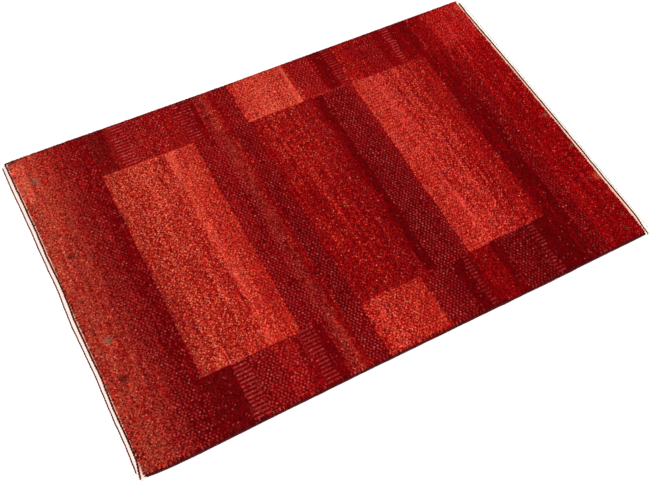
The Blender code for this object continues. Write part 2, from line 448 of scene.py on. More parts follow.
# Lines one knot wide that the weaver drew with paler wool along the edges of the panels
Line = namedtuple("Line", "row end_row knot end_knot tone share")
LINES = (
    Line(61, 140, 44, 44, 6.5, 0.7),
    Line(61, 140, 226, 226, 7.0, 0.8),
    Line(189, 210, 227, 227, 8.0, 0.9),
    Line(243, 287, 227, 227, 5.5, 0.5),
    Line(249, 254, 44, 44, 6.0, 1.0),
    Line(289, 361, 45, 47, 6.5, 0.5),
)

# Small odd knots of another yarn: row, knot, how many knots across, and the yarn
Speck = namedtuple("Speck", "row knot size yarn")
SPECKS = (
    Speck(11, 244, 2, "sage"),
    Speck(11, 191, 1, "bark"),
    Speck(13, 170, 2, "bark"),
    Speck(12, 97, 2, "sage"),
    Speck(12, 66, 3, "bark"),
    Speck(422, 127, 1, "sage"),
    Speck(423, 92, 1, "sage"),
    Speck(419, 20, 1, "olive"),
    Speck(414, 8, 1, "olive"),
    Speck(423, 263, 3, "rust"),
    Speck(415, 258, 1, "clay"),
    Speck(424, 58, 3, "rust"),
    Speck(2, 270, 4, "bark"),
)

rng = np.random.default_rng(20)


def linear(colour):
    """8-bit colour as the linear values that a shader takes."""
    share = np.asarray(colour, float) / 255
    return np.where(share <= 0.04045, share / 12.92, ((share + 0.055) / 1.055) ** 2.4)


def smooth_noise(rows, columns, row_step, column_step):
    """Noise of about unit size that changes over the given number of rows and of columns."""
    coarse = rng.standard_normal((int(rows / row_step) + 3, int(columns / column_step) + 3))
    at_row = np.arange(rows) / row_step
    at_column = np.arange(columns) / column_step
    low_row, low_column = at_row.astype(int), at_column.astype(int)
    part_row = (at_row - low_row)[:, None]
    part_column = (at_column - low_column)[None, :]
    part_row = part_row * part_row * (3 - 2 * part_row)
    part_column = part_column * part_column * (3 - 2 * part_column)
    below = coarse[low_row][:, low_column] * (1 - part_column)
    below += coarse[low_row][:, low_column + 1] * part_column
    above = coarse[low_row + 1][:, low_column] * (1 - part_column)
    above += coarse[low_row + 1][:, low_column + 1] * part_column
    return below * (1 - part_row) + above * part_row


def wander(count, step, size):
    """A line of smooth noise."""
    return size * smooth_noise(count, 1, step, 1)[:, 0]


# Reading the frame


def points_of(node):
    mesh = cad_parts[node].data
    points = np.empty(len(mesh.vertices) * 3)
    mesh.vertices.foreach_get("co", points)
    return points.reshape(-1, 3)


def stations(node, axis):
    """The rings of points that a long solid is made of, in order along the axis."""
    points = points_of(node)
    points = points[np.argsort(points[:, axis])]
    breaks = np.nonzero(np.diff(points[:, axis]) > 2 * MM)[0] + 1
    return np.split(points, breaks)


def centre_line(node, axis):
    line = np.array([(ring.min(0) + ring.max(0)) / 2 for ring in stations(node, axis)])
    low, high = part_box(node)
    line[0, axis], line[-1, axis] = low[axis], high[axis]
    return line


def foot_edge(side):
    """X and Y along one long edge of the pile, where it meets the floor."""
    points = points_of("pile")
    foot = points[points[:, 2] < 0.1 * MM]
    inner = foot[np.abs(foot[:, 0]) < PILE_HIGH.x - CORNER_MARGIN]
    edge = inner[inner[:, 1] * side > 0.4 * (PILE_HIGH.y - PILE_LOW.y)]
    edge = edge[np.argsort(edge[:, 0])]
    return edge[:, 0], edge[:, 1]


PILE_LOW, PILE_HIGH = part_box("pile")
NEAR_EDGE = foot_edge(-1)
FAR_EDGE = foot_edge(1)


def round_corner(x, y, near, far):
    """Draws points near a square corner of the pile in to its rounded corner."""
    from_end = np.minimum(x - PILE_LOW.x, PILE_HIGH.x - x)
    from_side = np.minimum(y - near, far - y)
    end_share = np.clip(1 - from_end / CORNER_RADIUS, 0, 1)
    side_share = np.clip(1 - from_side / CORNER_RADIUS, 0, 1)
    reach = np.hypot(end_share, side_share)
    pull = np.where(reach > 0, np.maximum(end_share, side_share) / np.maximum(reach, 1e-9), 1.0)
    x_move = end_share * (1 - pull) * CORNER_RADIUS * np.where(x < 0, 1, -1)
    y_move = side_share * (1 - pull) * CORNER_RADIUS * np.where(y < 0, 1, -1)
    return x + x_move, y + y_move


def near_draw(x):
    """How far the near edge is drawn in towards the left end."""
    return NEAR_LEFT_DRAW * np.clip(1 - (x - PILE_LOW.x) / NEAR_LEFT_REACH, 0, 1.2) ** 1.5


def end_line(column, knot):
    across = [line.across for line in END_LINES]
    return MM * np.interp(knot / KNOTS, across, [getattr(line, column) for line in END_LINES])


def knot_place(row, knot):
    """X and Y of a place in the knotting, counted in rows and knots from the near left corner."""
    x = PILE_LOW.x + (PILE_HIGH.x - PILE_LOW.x) * row / ROWS
    x = x - end_line("right_draw", knot) * np.clip((row - ROWS) / DRAWN_ROWS + 1, 0, 1)
    near = np.interp(x, *NEAR_EDGE) + near_draw(x)
    far = np.interp(x, *FAR_EDGE)
    return round_corner(x, near + (far - near) * knot / KNOTS, near, far)


def shear_height(x, y):
    """Height of the sheared pile, with the slow rises and hollows of its solid."""
    long_wave = np.sin(x / 0.118 + 1.7 * np.sin(y / 0.160))
    short_wave = np.sin(y / 0.071 + 0.9 * np.sin(x / 0.093) + 2.0)
    return PILE_HEIGHT + SHEAR_WAVE * (0.6 * long_wave + 0.4 * short_wave)


# The chart


def motif_masks(rows, knots):
    """For each motif, how much of a knot is worked in the motif's wool."""
    chance = rng.random(rows.shape)
    patterns = {
        "dots": (rows % 3 < 2) & ((knots + 2 * (rows % 3)) % 4 == 0),
        "zigzag": (knots + 3 * (rows % 2)) % 6 == 0,
        "teeth": knots % 3 == 1,
    }
    masks = {"plain": np.zeros(rows.shape)}
    for name, motif in MOTIFS.items():
        here = patterns[motif.pattern] & (chance < motif.worked)
        masks[name] = here * (motif.least + motif.spread * chance)
    return masks


def worked(chart, charted, mottle, masks):
    """Each knot's tone and its share of rose wool if the whole rug followed one zone's chart."""
    tones, rose = np.zeros(charted.shape), np.zeros(charted.shape)
    ends = [band.row for band in chart[1:]] + [ROWS]
    for band, end in zip(chart, ends):
        here = (charted >= band.row) & (charted < end)
        ground = band.start + (band.end - band.start) * (charted - band.row) / (end - band.row)
        ground = ground + band.mottle * mottle
        share = band.share * masks[band.motif]
        if band.motif in DARK_MOTIFS:
            ground = ground * (1 - share)
        else:
            rose[here] = share[here]
        tones[here] = ground[here]
    return tones, rose


def knot_colours():
    """The linear colour of each knot's yarn, by row and knot."""
    streaks = 0.6 * smooth_noise(ROWS, KNOTS, 1.2, 20) + 0.4 * smooth_noise(ROWS, KNOTS, 2.5, 50)
    grain = rng.standard_normal((ROWS, KNOTS))
    for axis in (0, 1):
        beside = np.roll(grain, 1, axis) + np.roll(grain, -1, axis)
        grain = grain - GRAIN_SHARPNESS * beside
    mottle = GRAIN * grain + STREAKS * streaks
    row, knot = np.meshgrid(np.arange(ROWS), np.arange(KNOTS), indexing="ij")
    fade = np.rint(BAND_EDGE_ROWS * smooth_noise(ROWS, KNOTS, 1, 16)).astype(int)
    block = np.searchsorted(SHARP_ROWS, row, side="right")
    first, last = np.array(SHARP_ROWS)[block - 1], np.array(SHARP_ROWS)[block] - 1
    charted = np.clip(row + fade, first, last)
    masks = motif_masks(row, knot)
    in_panels = (row >= PANEL_ROWS[0]) & (row < PANEL_ROWS[1])
    slant = (row - PANEL_SLANT_ROW) * PANEL_SLANT
    near_border = NEAR_BORDER + np.where(block == RIGHT_PANEL, slant, 0)
    border_wander = BORDER_EDGE_KNOTS * smooth_noise(ROWS, KNOTS, 1, 30)
    loose_knot = knot + np.where(in_panels, 0, border_wander)
    tones, rose = worked(FIELD_CHART, charted, mottle, masks)
    for chart, zone in (
        (NEAR_CHART, loose_knot < near_border),
        (FAR_CHART, loose_knot >= FAR_BORDER),
    ):
        zone_tones, zone_rose = worked(chart, charted, mottle - BORDER_CALM * streaks, masks)
        tones[zone], rose[zone] = zone_tones[zone], zone_rose[zone]
    for line in LINES:
        drawn = line.row + np.flatnonzero(rng.random(line.end_row - line.row) < line.share)
        along = np.rint(np.interp(drawn, (line.row, line.end_row), (line.knot, line.end_knot)))
        tones[drawn, along.astype(int)] = line.tone + LINE_STRAY * rng.standard_normal(drawn.size)
    # Partly painted light: the drift lightens the wool towards the far side
    tones += np.interp(np.arange(KNOTS), *zip(*DYE_AND_LIGHT_DRIFTS))[None]
    scale = linear(np.array(WOOL_TONES))
    places = np.arange(len(WOOL_TONES))
    colours = np.stack([np.interp(tones, places, scale[:, part]) for part in range(3)], -1)
    rows, browns, clears = zip(*DYES)
    clear = np.interp(np.arange(ROWS), rows, clears)[:, None, None]
    hue = np.clip(smooth_noise(ROWS, KNOTS, 1.5, 4), -1.5, 1.5)[..., None]
    colours = colours * (1 - clear * np.array(CLEARING)) * (1 + hue * np.array(HUE_CHANGE))
    brown = np.interp(np.arange(ROWS), rows, browns)[:, None]
    patches = 1 + BROWN_PATCHES * smooth_noise(ROWS, KNOTS, 1.5, 6) + BROWN_GRAIN * grain
    brown = brown * np.clip(patches, 0, 2.2) * np.clip(tones / BROWN_TONE, 0, 1)
    colours = colours + (linear(YARNS["clay"]) - colours) * np.clip(brown, 0, 0.8)[..., None]
    light = np.exp(TUFT_CONTRAST * rng.standard_normal((ROWS, KNOTS)))
    colours = colours * light[..., None]
    rose = np.clip(rose, 0, 1)[..., None]
    colours = colours + (linear(YARNS["rose"]) - colours) * rose
    in_motif = (rose[..., 0] > MOTIF_GLINT_SHARE) & (grain > MOTIF_GLINT_GRAIN)
    glint = (PLAIN_GLINT * (grain > PLAIN_GLINT_GRAIN) + MOTIF_GLINT * in_motif)[..., None]
    colours = colours + (linear(YARNS["pale_rose"]) - colours) * glint
    for speck in SPECKS:
        near = np.hypot(row - speck.row, knot - speck.knot) / (speck.size + 0.8)
        share = np.clip(1.3 - near, 0, 1) * np.clip(0.7 + 0.4 * grain, 0, 1)
        colours = colours + (linear(YARNS[speck.yarn]) - colours) * share[..., None]
    return np.clip(DYE_DEPTH * colours, 0.0002, 0.9)


# Meshes from arrays. A part holds points, triangles, and for each corner a colour and its place on
# the bake map.

Part = namedtuple("Part", "points triangles colours places")


def bake_places(along, across, cell, length, width, stretches, shelf=(0, 1)):
    """Places on a bake map where a long strip is cut into stretches, laid one above another."""
    part = length / stretches
    stretch = np.floor((cell + 0.01) / part)
    u = MAP_EDGE + (1 - 2 * MAP_EDGE) * (along - stretch * part) / part
    v = (stretch + MAP_GAP + (1 - 2 * MAP_GAP) * across / width) / stretches
    return np.stack([u, (v + shelf[0]) / shelf[1]], -1)


def grid_part(grid, colours, stretches, wrap=False, shelf=(0, 1)):
    """A grid of points as a part. wrap joins its last column to its first."""
    rows, columns = grid.shape[:2]
    cells = columns if wrap else columns - 1
    row, column = np.meshgrid(np.arange(rows - 1), np.arange(cells), indexing="ij")
    row, column = row.ravel(), column.ravel()
    index, colour, place = [], [], []
    for row_step, column_step in ((0, 0), (1, 0), (1, 1), (0, 1)):
        at_row, at_column = row + row_step, column + column_step
        index.append(at_row * columns + at_column % columns)
        colour.append(colours[at_row, at_column % columns])
        place.append(bake_places(at_row, at_column, row, rows - 1, cells, stretches, shelf))
    halves = ((0, 1, 2), (0, 2, 3))
    return Part(
        grid.reshape(-1, 3),
        np.concatenate([np.stack([index[k] for k in half], -1) for half in halves]),
        np.concatenate([np.stack([colour[k] for k in half], 1) for half in halves]),
        np.concatenate([np.stack([place[k] for k in half], 1) for half in halves]),
    )


def tuft_part(roots, tips, radii, colours, root_painted_shade=0.6, shelf=(0, 1)):
    """Many small tapered tufts of yarn, each from its root to its tip."""
    count = len(roots)
    axis = tips - roots
    axis = axis / np.linalg.norm(axis, axis=1)[:, None]
    side = np.cross(axis, np.array(ASKEW))
    side = side / np.linalg.norm(side, axis=1)[:, None]
    other = np.cross(axis, side)
    points = np.empty((count, 9, 3))
    for level, (share, width) in enumerate(((0.0, 0.9), (0.6, 1.0))):
        middle = roots + (tips - roots) * share
        for corner in range(4):
            angle = math.pi / 2 * corner
            offset = side * math.cos(angle) + other * math.sin(angle)
            points[:, 4 * level + corner] = middle + offset * (radii * width)[:, None]
    points[:, 8] = tips
    faces, flat = [], []
    for corner in range(4):
        after = (corner + 1) % 4
        left, right = corner / 4 + 0.02, corner / 4 + 0.23
        faces += [(corner, after, 4 + after), (corner, 4 + after, 4 + corner)]
        flat += [((left, 0.0), (right, 0.0), (right, 0.6))]
        flat += [((left, 0.0), (right, 0.6), (left, 0.6))]
        faces += [(4 + corner, 4 + after, 8)]
        flat += [((left, 0.62), (right, 0.62), ((left + right) / 2, 0.95))]
    faces, flat = np.array(faces), np.array(flat)
    # The corners at the roots are painted darker, as painted shade at the foot of each tuft
    shades = np.where(faces < 4, root_painted_shade, 1.0)
    triangles = faces[None] + 9 * np.arange(count)[:, None, None]
    corner_colours = colours[:, None, None, :] * shades[None, :, :, None]
    side_cells = math.ceil(math.sqrt(count))
    cell = np.stack([np.arange(count) % side_cells, np.arange(count) // side_cells], -1)
    places = (cell[:, None, None, :] + 0.02 + 0.96 * flat[None]) / side_cells
    places[..., 1] = (places[..., 1] + shelf[0]) / shelf[1]
    return Part(
        points.reshape(-1, 3),
        triangles.reshape(-1, 3),
        corner_colours.reshape(-1, 3, 3),
        places.reshape(-1, 3, 2),
    )


def make_piece(name, parts, material, slot, *nodes, normals=None):
    """Joins parts in one mesh object that rides with the rug and stands for CAD nodes."""
    starts = np.cumsum([0] + [len(part.points) for part in parts])
    points = np.concatenate([part.points for part in parts])
    triangles = np.concatenate([part.triangles + start for part, start in zip(parts, starts)])
    colours = np.concatenate([part.colours for part in parts]).reshape(-1, 3)
    places = np.concatenate([part.places for part in parts]).reshape(-1, 2)
    mesh = bpy.data.meshes.new(name)
    mesh.vertices.add(len(points))
    mesh.vertices.foreach_set("co", points.astype(np.float32).ravel())
    mesh.loops.add(3 * len(triangles))
    mesh.loops.foreach_set("vertex_index", triangles.astype(np.int32).ravel())
    mesh.polygons.add(len(triangles))
    mesh.polygons.foreach_set("loop_start", np.arange(0, 3 * len(triangles), 3, dtype=np.int32))
    bake_map = mesh.uv_layers.new(name="OFBake")
    bake_map.data.foreach_set("uv", places.astype(np.float32).ravel())
    yarn = mesh.color_attributes.new("yarn", "FLOAT_COLOR", "CORNER")
    full = np.ones((len(colours), 4), np.float32)
    full[:, :3] = colours
    yarn.data.foreach_set("color", full.ravel())
    mesh.update()
    mesh.shade_smooth()
    if normals is not None:
        mesh.normals_split_custom_set_from_vertices(normals)
    mesh.materials.append(material)
    piece = bpy.data.objects.new(name, mesh)
    bpy.context.scene.collection.objects.link(piece)
    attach(piece, "root")
    if nodes:
        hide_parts(*nodes)
    return piece


# Materials


# Wool's sheen, and how fine, how raised and how unlike in lightness its fibres are
WoolLook = namedtuple("WoolLook", "name sheen tint fineness relief flecks")
PILE_LOOK = WoolLook("pile_wool_look", 0.02, (1.0, 0.40, 0.34), 2600.0, 0.35, 0.25)
CORD_LOOK = WoolLook("cord_wool_look", 0.01, (1.0, 0.60, 0.50), 3200.0, 0.50, 0.25)
BAND_LOOK = WoolLook("plain_wool_look", 0.10, (1.0, 0.95, 0.92), 3800.0, 0.50, 0.10)
FIBRE_HEIGHT = 0.3 * MM


def put(node, values):
    for name, value in values.items():
        node.inputs[name].default_value = value


def wool_material(look):
    """Matt wool, its colour from the mesh broken up by flecks of lighter and darker fibre."""
    material = bpy.data.materials.new(look.name)
    material.use_nodes = True
    nodes, links = material.node_tree.nodes, material.node_tree.links
    shader = nodes["Principled BSDF"]
    put(shader, {"Roughness": 0.9, "Specular IOR Level": 0.02})
    put(shader, {"Sheen Weight": look.sheen, "Sheen Roughness": 0.5})
    put(shader, {"Sheen Tint": (*look.tint, 1.0)})
    colour = nodes.new("ShaderNodeAttribute")
    colour.attribute_name = "yarn"
    place = nodes.new("ShaderNodeTexCoord")
    fibres = nodes.new("ShaderNodeTexNoise")
    put(fibres, {"Scale": look.fineness, "Detail": 3.0, "Roughness": 0.65})
    links.new(place.outputs["Object"], fibres.inputs["Vector"])
    spread = nodes.new("ShaderNodeMapRange")
    put(spread, {"From Min": 0.25, "From Max": 0.82})
    put(spread, {"To Min": 1 - look.flecks, "To Max": 1 + look.flecks})
    links.new(fibres.outputs["Fac"], spread.inputs["Value"])
    shade = nodes.new("ShaderNodeVectorMath")
    shade.operation = "SCALE"
    links.new(colour.outputs["Color"], shade.inputs[0])
    links.new(spread.outputs["Result"], shade.inputs["Scale"])
    links.new(shade.outputs["Vector"], shader.inputs["Base Color"])
    bump = nodes.new("ShaderNodeBump")
    put(bump, {"Strength": look.relief, "Distance": FIBRE_HEIGHT})
    links.new(fibres.outputs["Fac"], bump.inputs["Height"])
    links.new(bump.outputs["Normal"], shader.inputs["Normal"])
    return material


# The pile


def pile_grid():
    """Valley points between the knots and the tips of the tufts, each by row and knot."""
    rows, knots = np.meshgrid(np.arange(ROWS + 1.0), np.arange(KNOTS + 1.0), indexing="ij")
    waver = WAVER_ROWS * smooth_noise(ROWS + 1, KNOTS + 1, 30, 14)
    inset = np.minimum.reduce([rows, ROWS - rows, knots, KNOTS - knots])
    waver *= np.clip(inset / 4, 0, 1)
    jitter = TUFT_JITTER * rng.uniform(-1, 1, (2, ROWS + 1, KNOTS + 1))
    x, y = knot_place(rows + waver, knots)
    x, y = x + jitter[0], y + jitter[1]
    x = x - VALLEY_LEAN * end_line("left_lean", knots) * np.clip(1 - rows / LEANING_ROWS, 0, 1)
    z = shear_height(x, y) - TUFT_DEPTH + HEIGHT_JITTER * rng.uniform(-1, 1, x.shape)
    z[inset == 0] = GROUND_HEIGHT - RIM_FOOT
    z[inset == 1] -= NEXT_VALLEY_DROP
    valleys = np.stack([x, y, z], -1)

    tips = (valleys[:-1, :-1] + valleys[1:, :-1] + valleys[:-1, 1:] + valleys[1:, 1:]) / 4
    tips[..., 0] += TUFT_LEAN + TUFT_JITTER * rng.uniform(-1, 1, tips.shape[:2])
    tips[..., 1] += TUFT_JITTER * rng.uniform(-1, 1, tips.shape[:2])
    tips[..., 2] = shear_height(tips[..., 0], tips[..., 1])
    tips[..., 2] += HEIGHT_JITTER * rng.standard_normal(tips.shape[:2]).clip(-2, 2)
    rows, knots = np.meshgrid(np.arange(ROWS), np.arange(KNOTS), indexing="ij")
    inset = np.minimum.reduce([rows, ROWS - 1 - rows, knots, KNOTS - 1 - knots])
    tips[..., 2] -= RIM_TIP_DROP * (inset == 0) + NEXT_TIP_DROP * (inset == 1)
    return valleys, tips


def pile_normals(valleys, tips):
    """Normals of the valley points and tips, worked out before the pile is cut in slices."""
    at_valley, at_tip = np.zeros(valleys.shape), np.zeros(tips.shape)
    corners = ((0, 0), (1, 0), (1, 1), (0, 1))
    views = [(slice(a, a + ROWS), slice(b, b + KNOTS)) for a, b in corners]
    for index, here in enumerate(views):
        after = views[(index + 1) % 4]
        normal = np.cross(valleys[after] - valleys[here], tips - valleys[here])
        for target in (at_valley[here], at_valley[after], at_tip):
            target += normal
    return [part / np.linalg.norm(part, axis=-1, keepdims=True) for part in (at_valley, at_tip)]


def make_pile(colours, material):
    """The tufts, in slices that run along the rug, so that each keeps a sharp map."""
    valleys, tips = pile_grid()
    valley_normals, tip_normals = pile_normals(valleys, tips)
    padded = np.pad(colours, ((1, 1), (1, 1), (0, 0)), mode="edge")
    blended = (padded[1:, 1:] + padded[:-1, 1:] + padded[1:, :-1] + padded[:-1, :-1]) / 4
    slices = []
    for index in range(SLICES):
        first, last = index * KNOTS // SLICES, (index + 1) * KNOTS // SLICES
        width = last - first
        row, knot = np.meshgrid(np.arange(ROWS), np.arange(width), indexing="ij")
        row, knot = row.ravel(), knot.ravel()
        own = colours[row, first + knot]
        ring, shades, places = [], [], []
        for row_step, knot_step in ((0, 0), (1, 0), (1, 1), (0, 1)):
            at_row, at_knot = row + row_step, knot + knot_step
            ring.append(at_row * (width + 1) + at_knot)
            shades.append(0.8 * own + 0.2 * blended[at_row, first + at_knot])
            places.append(bake_places(at_row, at_knot, row, ROWS, width, STRETCHES))
        tip = (ROWS + 1) * (width + 1) + row * width + knot
        tip_place = bake_places(row + 0.5, knot + 0.5, row, ROWS, width, STRETCHES)
        turns = [(side, (side + 1) % 4) for side in range(4)]
        part = Part(
            np.concatenate(
                [valleys[:, first : last + 1].reshape(-1, 3), tips[:, first:last].reshape(-1, 3)]
            ),
            np.concatenate([np.stack([ring[a], ring[b], tip], -1) for a, b in turns]),
            np.concatenate([np.stack([shades[a], shades[b], own], 1) for a, b in turns]),
            np.concatenate([np.stack([places[a], places[b], tip_place], 1) for a, b in turns]),
        )
        normals = np.concatenate(
            [
                valley_normals[:, first : last + 1].reshape(-1, 3),
                tip_normals[:, first:last].reshape(-1, 3),
            ]
        )
        name = f"pile_tufts_{index + 1}"
        slices.append(make_piece(name, [part], material, "pile_wool", "pile", normals=normals))
    return slices


def make_rim(colours, material):
    """The outermost tufts, which lean out over the sides and ends."""
    mid_rows, mid_knots = np.arange(ROWS) + 0.5, np.arange(KNOTS) + 0.5
    left_lean = end_line("left_lean", mid_knots)
    sides = (
        (mid_rows, np.zeros(ROWS), (0, -1), NEAR_LEAN, colours[:, 0]),
        (mid_rows, np.full(ROWS, KNOTS), (0, 1), FAR_LEAN, colours[:, -1]),
        (np.zeros(KNOTS), mid_knots, (-1, 0), left_lean, colours[0]),
        (np.full(KNOTS, ROWS), mid_knots, (1, 0), RIGHT_LEAN, colours[-1]),
    )
    roots, tips, radii, shades = [], [], [], []
    for row, knot, (out_x, out_y), lean, edge_colours in sides:
        count = len(row)
        for tuft in RIM_TUFTS:
            x, y = knot_place(row + rng.uniform(-0.4, 0.4, count), knot)
            root = np.stack([x - RIM_INSET * out_x, y - RIM_INSET * out_y, np.zeros(count)], -1)
            root[:, 2] = tuft.root_height + RIM_SCATTER * rng.uniform(-1, 1, count)
            reach = lean * tuft.reach * rng.uniform(0.6, 1.2, count) + RIM_INSET
            tip = root + np.stack([out_x * reach, out_y * reach, np.zeros(count)], -1)
            tip[:, :2] += RIM_SCATTER * rng.uniform(-1, 1, (count, 2))
            tip[:, 2] = tuft.tip_height + RIM_TIP_SCATTER * rng.uniform(-1, 1, count)
            roots.append(root)
            tips.append(tip)
            radii.append(tuft.radius * rng.uniform(0.8, 1.2, count))
            # Painted shade and light: each ring of rim tufts takes its painted shade, spread at
            # random
            shades.append(edge_colours * (tuft.shade * rng.uniform(0.8, 1.15, count))[:, None])
    # The rim tufts' roots are painted at 0.8 of their colour, as painted shade
    part = tuft_part(*(np.concatenate(each) for each in (roots, tips, radii, shades)), 0.8)
    return make_piece("pile_rim", [part], material, "pile_wool", "pile")


def make_ground(colours, material):
    """The knotted ground: a closed slab whose underside shows the backs of the knots."""
    rows, knots = np.arange(0, ROWS + 1, 2), np.arange(0, KNOTS + 1, 2)
    row, knot = np.meshgrid(rows.astype(float), knots.astype(float), indexing="ij")
    x, y = knot_place(row, knot)
    x, y = x * (1 - GROUND_INSET / PILE_HIGH.x), y * (1 - GROUND_INSET / PILE_HIGH.y)
    under = np.stack([x, y, np.zeros(x.shape)], -1)
    over = under[:, [-1, 0]] + np.array([0, 0, GROUND_HEIGHT])
    grid = np.concatenate([under, over], 1)[::-1]
    shown = colours[np.minimum(rows, ROWS - 1)][:, np.minimum(knots, KNOTS - 1)]
    # The slab's sides are painted darker towards its top, which is half as light, as painted shade
    # under the pile
    shades = np.concatenate([shown, 0.5 * shown[:, [-1, 0]]], 1)[::-1]
    body = grid_part(grid, 0.8 * shades, 3, wrap=True)
    places = body.places.copy()
    places[..., 0] *= GROUND_MAP_WIDTH
    body = body._replace(places=places)
    parts = [body]
    columns = grid.shape[1]
    near_top = columns - 1
    for end, start in ((0, 0), (1, (grid.shape[0] - 1) * columns)):
        corner = np.arange(columns - 2)
        fan = np.stack([np.full(len(corner), near_top), corner, corner + 1], -1)
        if end:
            fan = fan[:, ::-1]
        left = FAN_MAP_LEFT + FAN_MAP_STEP * end
        low, high = corner / columns + 0.001, (corner + 0.8) / columns
        flat = [(left + FAN_MAP_WIDTH, (low + high) / 2), (left, low), (left, high)]
        flat = np.stack([np.stack(np.broadcast_arrays(u, v), -1) for u, v in flat], 1)
        if end:
            flat = flat[:, ::-1]
        shade = np.broadcast_to(linear(YARNS["selvage"]), (len(fan), 3, 3))
        parts.append(Part(np.empty((0, 3)), fan + start - len(body.points), shade, flat))
    return make_piece("pile_ground", parts, material, "pile_wool", "pile")


# The sides


def make_side(run, material):
    """A side cord, overcast with turns of yarn."""
    line = centre_line(run.node, 0)
    count = SIDE_TURNS * SIDE_TURN_STEPS + 1
    x = np.linspace(line[0, 0] - run.left, line[-1, 0] + run.right, count)
    y = np.interp(x, line[:, 0], line[:, 1]) + wander(count, 40, SIDE_WANDER)
    y = y + np.where(y < 0, near_draw(x), 0)
    angle = np.linspace(0, 2 * math.pi, SIDE_FACETS, endpoint=False)[::-1]
    turn = np.arange(count)[:, None] / SIDE_TURN_STEPS + SIDE_SLANT * angle[None] / math.pi
    turn = turn + wander(count, 9, 0.12)[:, None]
    bulge = np.abs(np.sin(math.pi * turn)) ** 0.7
    swell = 1 - SIDE_VALLEY_DEPTH * (1 - bulge)
    swell *= 1 + wander(count, 12, 0.035)[:, None]
    ends = np.clip(np.minimum(np.arange(count), np.arange(count)[::-1]) / 4, 0.02, 1) ** 0.5
    swell = swell * ends[:, None]
    over = np.clip((np.abs(x) - PILE_HIGH.x) / (0.6 * MM), 0, 1)[:, None]
    width, height = SIDE_CORD_WIDTH / 2, SIDE_CORD_HEIGHT / 2
    across = y[:, None] + width * (1 - 0.35 * over) * swell * np.cos(angle)
    up = np.maximum(height + height * swell * np.sin(angle), FLOOR_CLEARANCE)
    up = up + over * (BAND_THICKNESS + 0.4 * MM - 0.6 * height + 0.5 * (height - up))
    up = np.maximum(up, over * (BAND_THICKNESS + BAND_CLEARANCE))
    along = x[:, None] + SIDE_YARN_BEND * np.sin(angle)[None]
    grid = np.stack([along, across, up], -1)
    yarn_shade = rng.uniform(*SIDE_SHADES, SIDE_TURNS + 8)
    # Painted shade: the valleys between the turns of yarn are painted darker
    valley_painted_shade = 1 - SIDE_VALLEY_PAINTED_SHADE * (1 - bulge)
    shade = yarn_shade[np.clip(np.floor(turn).astype(int), 0, SIDE_TURNS + 7)] * valley_painted_shade
    from_end = np.minimum(x - x[0], x[-1] - x) + wander(count, 20, SIDE_BOUND_STRAY)
    bound = np.clip(1.5 - from_end / SIDE_BOUND_LENGTH, 0, 1)[:, None, None]
    yarn = linear(YARNS[run.yarn]) * (1 - bound) + linear(YARNS["umber"]) * bound
    part = grid_part(grid, yarn * shade[..., None], 15, wrap=True)
    return make_piece(f"overcast_{run.node}", [part], material, "side_wool", run.node)


# The ends


